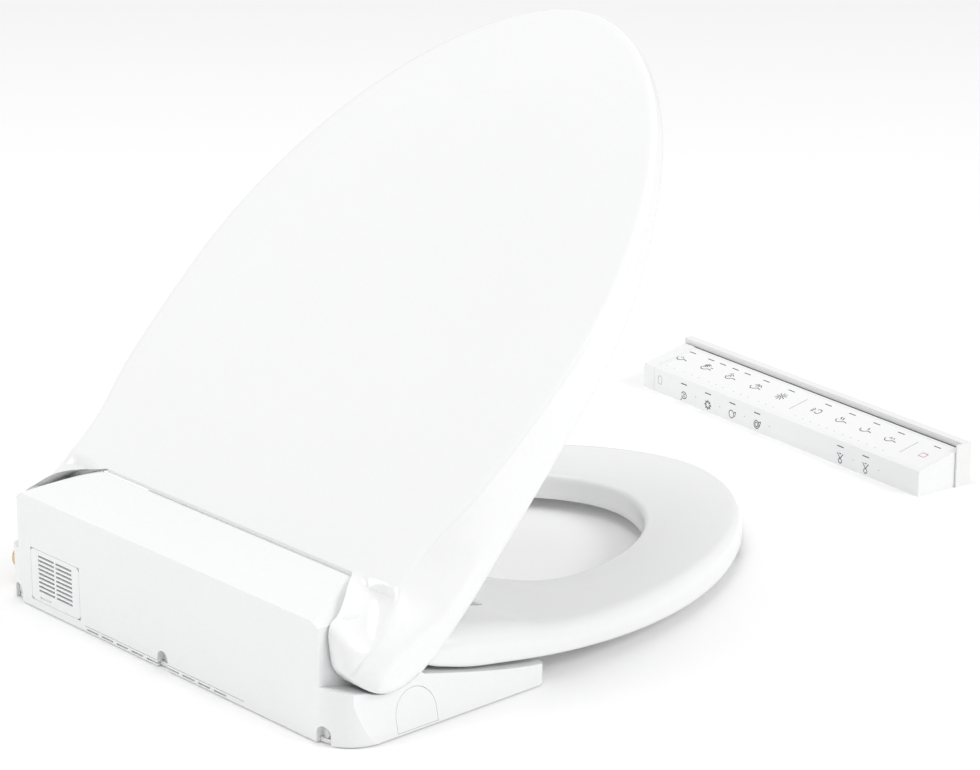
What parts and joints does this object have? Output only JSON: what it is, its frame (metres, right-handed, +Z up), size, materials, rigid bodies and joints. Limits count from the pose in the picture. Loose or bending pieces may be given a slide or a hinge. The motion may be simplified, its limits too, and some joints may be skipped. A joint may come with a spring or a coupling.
{
  "type": "electric bidet seat",
  "caption": "White electric bidet seat with a soft-close lid part open over a heated ring, rear vent and filter cover, side release panel, and a wedge-shaped remote in its wall dock.",
  "frame": {"origin": "on the underside plane of the rubber pads, midway between the two mounting bolts", "axes": "+Z up, -Y towards the front of the bowl, +X to the left of a seated user"},
  "size_m": [0.4305, 0.7574, 0.4178],
  "materials": {
    "housing_white": "satin white ABS",
    "lid_white": "satin white PP",
    "seat_white": "satin white PP",
    "inner_white": "matt white moulding",
    "dark_plastic": "matt dark moulding",
    "grey_plastic": "matt grey moulding",
    "rubber": "grey rubber",
    "steel": "zinc-plated steel",
    "brass": "nickel-free brass, machined",
    "filter_black": "activated carbon block",
    "board_green": "circuit board",
    "foil": "heater foil",
    "hose": "silicone hose",
    "panel_white": "printed film",
    "battery": "sleeved cell",
    "magnet": "nickel-plated magnet"
  },
  "bodies": {
    "base": {"base_pan": "inner_white", "main_housing": "housing_white", "nose_cover": "housing_white", "mounting_plate": "inner_white", "bolt_adjusters": "inner_white", "base_pads": "rubber", "housing_screws": "steel", "deodorizer_case": "grey_plastic", "dryer_case": "grey_plastic", "dryer_heater": "foil", "nozzle_motor": "steel", "nozzle_guide": "inner_white", "lid_hinge_pins": "steel", "lid_drive": "grey_plastic", "lid_damper": "dark_plastic", "seat_hinge_pins": "steel", "seat_dampers": "dark_plastic", "water_heater": "grey_plastic", "water_pump": "dark_plastic", "solenoid_valve": "dark_plastic", "inlet_fitting": "brass", "inlet_strainer": "steel", "feed_hose": "hose", "power_gland": "dark_plastic", "control_board_case": "grey_plastic", "control_board": "board_green", "dock_plate": "inner_white", "dock_magnets": "magnet"},
    "lid": {"lid_shell": "lid_white", "lid_inner_panel": "lid_white", "lid_bumpers": "rubber"},
    "seat": {"seat_top": "seat_white", "seat_bottom": "seat_white", "seat_heater": "foil", "seat_bumpers": "rubber"},
    "filter": {"filter_cover": "housing_white", "deodorizer_filter": "filter_black"},
    "deodorizer_rotor": {"deodorizer_fan": "dark_plastic"},
    "dryer_rotor": {"dryer_fan": "dark_plastic"},
    "flap": {"dryer_flap": "housing_white"},
    "nozzle": {"nozzle_wand": "inner_white", "nozzle_tip": "steel", "nozzle_rack": "grey_plastic"},
    "pinion": {"nozzle_pinion": "grey_plastic"},
    "release": {"release_button": "housing_white", "release_latch": "grey_plastic"},
    "remote": {"remote_case": "housing_white", "remote_touch_panel": "panel_white", "remote_board": "board_green", "remote_batteries": "battery"},
    "remote_cap": {"remote_end_cap": "housing_white"}
  },
  "joints": [
    {"name": "lid_hinge", "type": "hinge", "parent": "base", "child": "lid", "pos_m": [0, 0.012, 0.072], "axis": [-1, 0, 0], "range_deg": [-46.5, 58]},
    {"name": "seat_hinge", "type": "hinge", "parent": "base", "child": "seat", "pos_m": [0, -0.03, 0.052], "axis": [-1, 0, 0], "range_deg": [0, 40]},
    {"name": "filter_slide", "type": "slide", "parent": "base", "child": "filter", "axis": [0, 1, 0], "range_m": [0, 0.045]},
    {"name": "deodorizer_fan_spin", "type": "hinge", "parent": "base", "child": "deodorizer_rotor", "pos_m": [0.129, 0.002, 0.029], "axis": [0, 1, 0], "continuous": true},
    {"name": "dryer_fan_spin", "type": "hinge", "parent": "base", "child": "dryer_rotor", "pos_m": [-0.064, -0.0895, 0.015], "axis": [0, 0, 1], "continuous": true},
    {"name": "flap_hinge", "type": "hinge", "parent": "base", "child": "flap", "pos_m": [-0.036, -0.118, 0.0225], "axis": [-1, 0, 0], "range_deg": [0, 40]},
    {"name": "nozzle_slide", "type": "slide", "parent": "base", "child": "nozzle", "axis": [0, -0.9135, -0.4067], "range_m": [0, 0.056]},
    {"name": "pinion_spin", "type": "hinge", "parent": "base", "child": "pinion", "pos_m": [0.01425, -0.09525, 0.02318], "axis": [0, -0.4067, 0.9135], "range_deg": [-5, 545]},
    {"name": "release_press", "type": "slide", "parent": "base", "child": "release", "axis": [1, 0, 0], "range_m": [0, 0.003], "stiffness_N_per_m": 400, "springref_m": -0.003},
    {"name": "remote_lift_off", "type": "slide", "parent": "base", "child": "remote", "axis": [0.0993, 0.9951, 0], "range_m": [0, 0.08]},
    {"name": "battery_cap_slide", "type": "slide", "parent": "remote", "child": "remote_cap", "axis": [0.9951, -0.0993, 0], "range_m": [0, 0.05]}
  ],
  "couplings": [
    {"joint": "pinion_spin", "follows": "nozzle_slide", "rad_per_m": 166.67}
  ]
}
